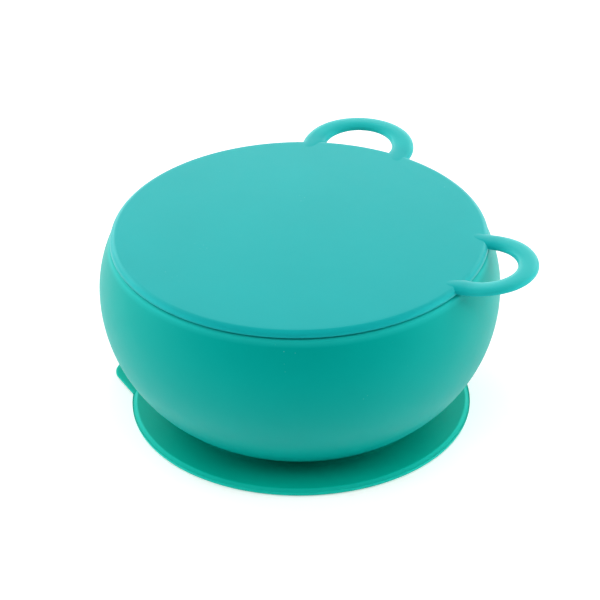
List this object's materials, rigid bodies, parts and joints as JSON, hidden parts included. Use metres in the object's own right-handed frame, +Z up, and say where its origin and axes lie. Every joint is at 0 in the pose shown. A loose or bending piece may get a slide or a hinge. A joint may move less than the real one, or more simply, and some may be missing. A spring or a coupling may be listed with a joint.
{
  "type": "suction bowl",
  "caption": "Round silicone suction bowl for a small child, with a flat suction foot, a pull tab and a press-in lid that has ear-shaped finger loops.",
  "frame": {"origin": "on the bowl's axis, in the plane of the table that the suction foot stands on", "axes": "+Z up the bowl's axis; +X through the middle of the right ear loop; +Y through the middle of the left ear loop; the pull tab is on -X"},
  "size_m": [0.1334, 0.1334, 0.0609],
  "materials": {
    "bowl_silicone": "matte moulded silicone",
    "foot_silicone": "matte moulded silicone",
    "lid_silicone": "satin moulded silicone"
  },
  "bodies": {
    "foot": {"suction_rim": "foot_silicone", "suction_dome": "foot_silicone"},
    "tab": {"release_tab": "foot_silicone"},
    "bowl": {"bowl_shell": "bowl_silicone", "neck": "bowl_silicone"},
    "lid": {"lid_panel": "lid_silicone", "lid_plug": "lid_silicone"},
    "right_ear": {"right_ear_loop": "lid_silicone"},
    "left_ear": {"left_ear_loop": "lid_silicone"}
  },
  "joints": [
    {"name": "suction_press", "type": "slide", "parent": "foot", "child": "bowl", "axis": [0, 0, -1], "range_m": [0, 0.0015], "stiffness_N_per_m": 3000, "springref_m": -0.001, "deforming": ["suction_dome"]},
    {"name": "tab_lift", "type": "hinge", "parent": "foot", "child": "tab", "pos_m": [-0.0524, 0, 0.00105], "axis": [0, 1, 0], "range_deg": [0, 70], "stiffness_Nm_per_rad": 0.006},
    {"name": "lid_lift", "type": "slide", "parent": "bowl", "child": "lid", "axis": [0, 0, 1], "range_m": [0, 0.06]},
    {"name": "right_ear_flex", "type": "hinge", "parent": "lid", "child": "right_ear", "pos_m": [0.0568, 0, 0.05915], "axis": [0, -1, 0], "range_deg": [0, 60], "stiffness_Nm_per_rad": 0.01},
    {"name": "left_ear_flex", "type": "hinge", "parent": "lid", "child": "left_ear", "pos_m": [0, 0.0568, 0.05915], "axis": [1, 0, 0], "range_deg": [0, 60], "stiffness_Nm_per_rad": 0.01}
  ]
}
